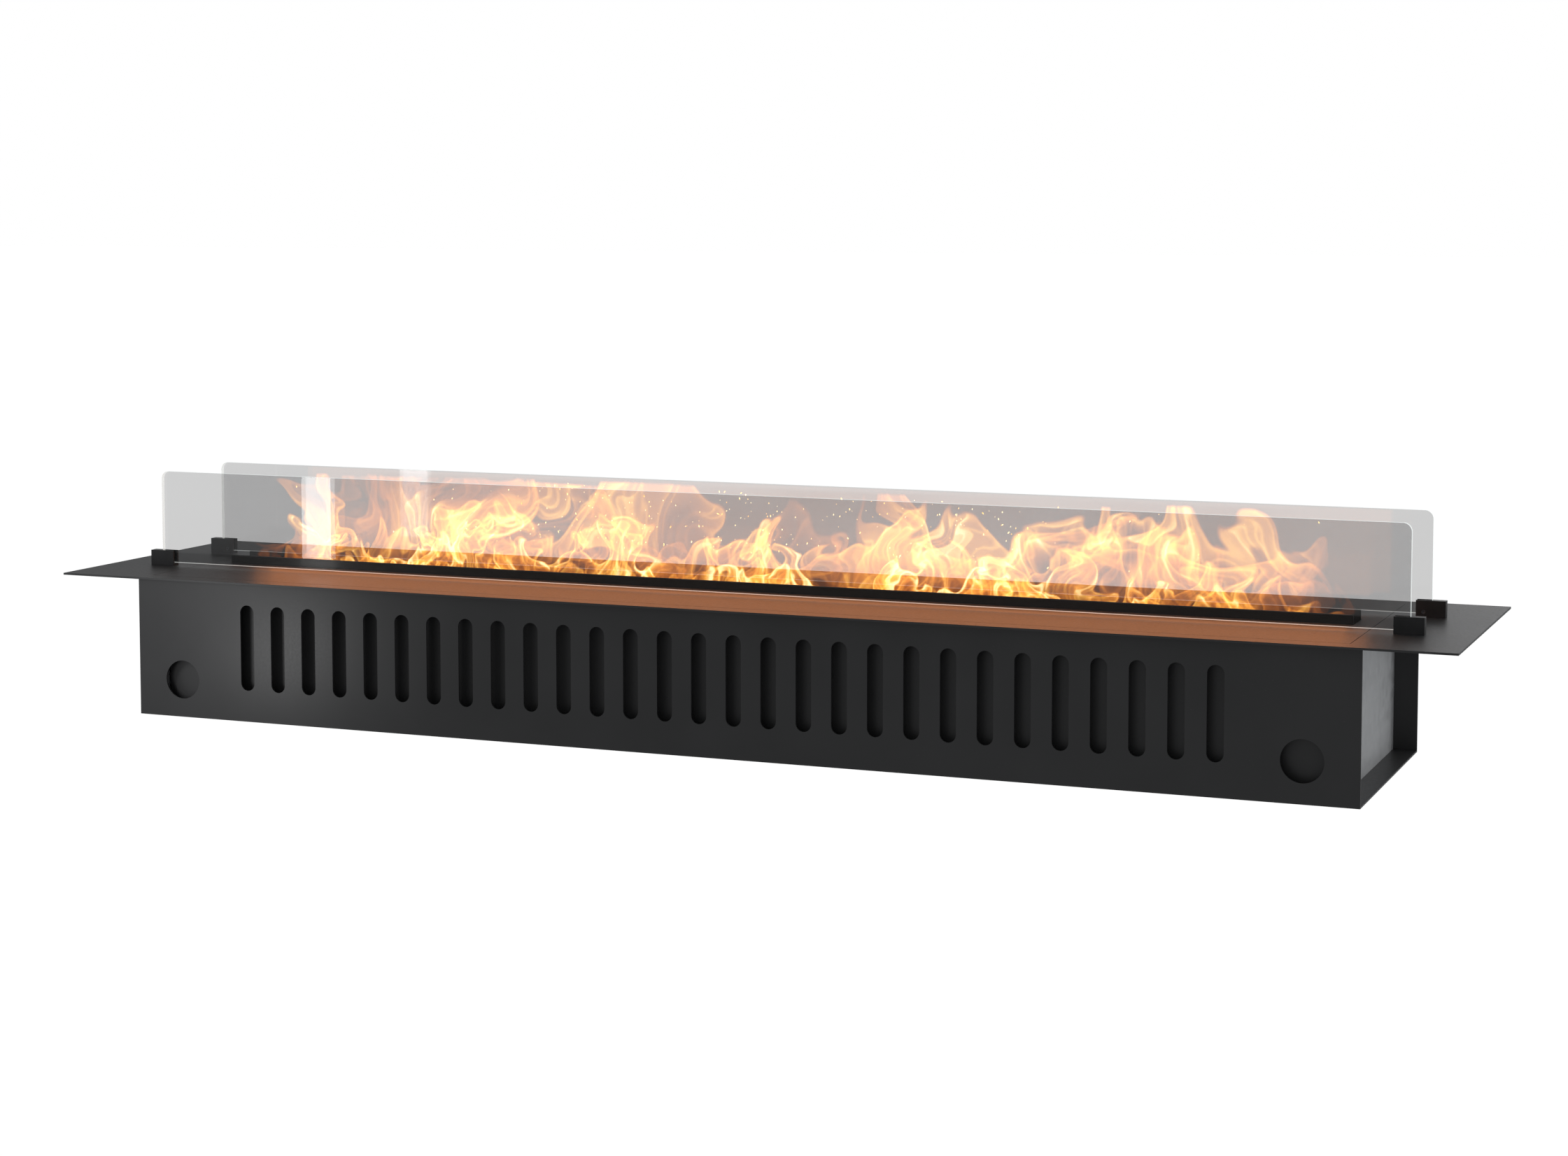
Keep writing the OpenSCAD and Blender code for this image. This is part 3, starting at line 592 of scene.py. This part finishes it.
def make_sparks():
    """Tiny glowing drops above the fire, each a small octahedron drawn out along its way up."""
    rng = np.random.default_rng(SPARK_SEED)
    corners = np.array([(1, 0, 0), (-1, 0, 0), (0, 1, 0), (0, -1, 0), (0, 0, 1), (0, 0, -1)], float)
    sides = [(a, b, c) for a in (0, 1) for b in (2, 3) for c in (4, 5)]
    points, faces = [], []
    for x, spread, count in SPARK_CLOUDS:
        for _ in range(count):
            across = x + spread * rng.standard_normal()
            place = (across, rng.uniform(-0.03, 0.05), rng.uniform(0.225, 0.303))
            wide = rng.uniform(0.0003, 0.0009)
            size = np.array([wide, wide, wide * rng.uniform(1, 2.6)])
            if abs(across) > SPARK_REACH:
                continue
            tilt = rng.normal(0, 0.5)
            c, s = math.cos(tilt), math.sin(tilt)
            turn = np.array([[c, 0, s], [0, 1, 0], [-s, 0, c]])
            start = len(points)
            points.extend(((corners * size) @ turn.T + place).tolist())
            for i, j, k in sides:
                if (i + j + k) % 2:
                    j, k = k, j
                faces.append((start + i, start + j, start + k))
    mesh = bpy.data.meshes.new("sparks")
    mesh.from_pydata(points, [], faces)
    r = Recipe("spark", BLACK, 1.0)
    tone = r.span(r.noise(300.0, 1.0), 0.35, 0.65)
    r.put("Emission Color", r.blend(tone, (1.0, 0.5, 0.12), (1.0, 0.85, 0.5)))
    r.put("Emission Strength", 3.5)
    r.material.cycles.emission_sampling = "NONE"
    light_only(add_piece("sparks", mesh, r.material))


def make_mist():
    """The lit mist that lies in the channel under the fire."""
    rng = np.random.default_rng(MIST_SEED)
    step = 0.002
    half_x, half_y, height = 0.735, 0.020, 0.163
    x, y = sheet_grid(-half_x, half_x, -half_y, half_y, step)
    lump = soft_noise(rng, x.shape, step, 0.03, 0.045)
    lump += 0.5 * soft_noise(rng, x.shape, step, 0.012, 0.016)
    z = height + 0.003 * np.clip(lump, -2.4, 2.4)
    edge = 1 - smooth(np.abs(x), 0.66, half_x)
    density = np.clip(0.45 + 0.2 * lump, 0.05, 1) * edge
    heat = np.clip(0.35 + 0.2 * lump, 0, 1)
    facts = {"mist_cover": density, "mist_heat": heat}
    mesh = sheet_mesh("channel_mist", np.stack([x, y, z], -1), density > 0.01, facts)
    material = flame_material("channel_mist", strength=1.2, reach=0.8)
    light_only(add_piece("channel_mist", mesh, material))


# ---- stage ------------------------------------------------------------------------------------

SOFT_LIGHT = (0.36, 0.365, 0.37)
FLOOR_HALF = 30.0
FLOOR_GAP = 0.0005  # keeps the floor just under the casing


def make_world():
    """White behind the object, and a dimmer soft light on it."""
    world = bpy.data.worlds.new("studio")
    SCENE.world = world
    world.use_nodes = True
    tree = world.node_tree
    tree.nodes.clear()
    out = tree.nodes.new("ShaderNodeOutputWorld")
    mix = tree.nodes.new("ShaderNodeMixShader")
    path = tree.nodes.new("ShaderNodeLightPath")
    white = tree.nodes.new("ShaderNodeBackground")
    white.inputs["Color"].default_value = (*WHITE, 1.0)
    soft = tree.nodes.new("ShaderNodeBackground")
    soft.inputs["Color"].default_value = (*SOFT_LIGHT, 1.0)
    tree.links.new(path.outputs["Is Camera Ray"], mix.inputs["Fac"])
    tree.links.new(soft.outputs[0], mix.inputs[1])
    tree.links.new(white.outputs[0], mix.inputs[2])
    tree.links.new(mix.outputs[0], out.inputs["Surface"])


def make_floor():
    """A plain pale floor, as bright as the background, that throws no light back."""
    half = FLOOR_HALF
    corners = [(-half, -half, 0), (half, -half, 0), (half, half, 0), (-half, half, 0)]
    mesh = bpy.data.meshes.new("floor")
    mesh.from_pydata(corners, [], [(0, 1, 2, 3)])
    floor = bpy.data.objects.new("floor", mesh)
    SCENE.collection.objects.link(floor)
    floor.location.z = -FLOOR_GAP
    r = Recipe("pale_floor", (0.02, 0.02, 0.02), 1.0)
    tone = r.span(r.noise(0.8, 2.0), 0.3, 0.7)
    r.put("Emission Color", r.blend(tone, WHITE, (1.02, 1.02, 1.02)))
    r.put("Emission Strength", 1.0)
    r.put("Specular IOR Level", 0.0)
    r.material.cycles.emission_sampling = "NONE"
    mesh.materials.append(r.material)
    floor.visible_diffuse = False
    floor.visible_glossy = False


def area_light(name, place, aim, size, radiance, color=WHITE):
    """A rectangular soft light of that radiance; aim is the direction that it faces."""
    data = bpy.data.lights.new(name, "AREA")
    data.shape = "RECTANGLE"
    data.size, data.size_y = size
    data.energy = math.pi * radiance * size[0] * size[1]
    data.color = color
    light = bpy.data.objects.new(name, data)
    SCENE.collection.objects.link(light)
    light.location = place
    light.rotation_euler = aim
    light.visible_camera = False
    return light


FACING_BACK = (math.radians(90), 0, 0)
FACING_FRONT = (math.radians(-90), 0, 0)
FACING_LEFT = (0, math.radians(90), 0)

STRIP_PLACE = (-0.823, -0.45, 0.21)
STRIP_SIZE = (0.049, 0.126)
WARM = (1.0, 0.31, 0.07)
# The fire's own light: length, height, height of its middle, radiance
GLOWS = ((1.45, 0.05, 0.222, 2.9), (1.46, 0.09, 0.245, 2.1), (1.50, 0.10, 0.252, 1.8))


def make_lights():
    """The strip that the panes reflect, its wash on the casing, the fills and the fire's glow."""
    area_light("strip_softbox", STRIP_PLACE, FACING_BACK, STRIP_SIZE, 7.0)
    strip_wash = area_light("strip_wash", STRIP_PLACE, FACING_BACK, STRIP_SIZE, 14.0)
    strip_wash.visible_glossy = False
    area_light("strip_low", (-0.74, -0.45, 0.058), FACING_BACK, (0.09, 0.11), 7.5)
    area_light("strip_upper", (-1.15, -1.0, 0.45), FACING_BACK, (0.058, 0.42), 5.0)
    area_light("right_fill", (2.2, 0.7, 0.6), FACING_LEFT, (1.6, 1.6), 1.25)
    area_light("rear_fill", (0.95, 2.7, 0.75), FACING_FRONT, (1.2, 0.9), 0.8)
    for length, height, z, radiance in GLOWS:
        size = (length, height)
        area_light("glow_front", (0.025, -0.019, z), FACING_FRONT, size, radiance, WARM)
        area_light("glow_rear", (0.025, 0.019, z), FACING_BACK, size, 0.6 * radiance, WARM)


CAMERA_PLACE = (1.4028, -3.3522, 0.6756)
CAMERA_DOWN = 4.416  # degrees below the horizon
CAMERA_TURN = 21.973  # degrees to the left of straight back


def make_camera():
    """A long lens from the front right, a little above the object."""
    data = bpy.data.cameras.new("camera")
    data.lens = 66.571
    data.sensor_width = 36.0
    data.shift_x = -0.00571
    data.shift_y = -0.10
    data.clip_end = 100.0
    camera = bpy.data.objects.new("camera", data)
    camera.location = CAMERA_PLACE
    camera.rotation_euler = (math.radians(90 - CAMERA_DOWN), 0, math.radians(CAMERA_TURN))
    SCENE.collection.objects.link(camera)
    SCENE.camera = camera


SCENE.view_settings.view_transform = "Standard"
SCENE.cycles.transparent_max_bounces = 32  # enough for every curtain and both panes
dress_nodes()
make_flames()
make_haze()
make_sparks()
make_mist()
make_world()
make_floor()
make_lights()
make_camera()
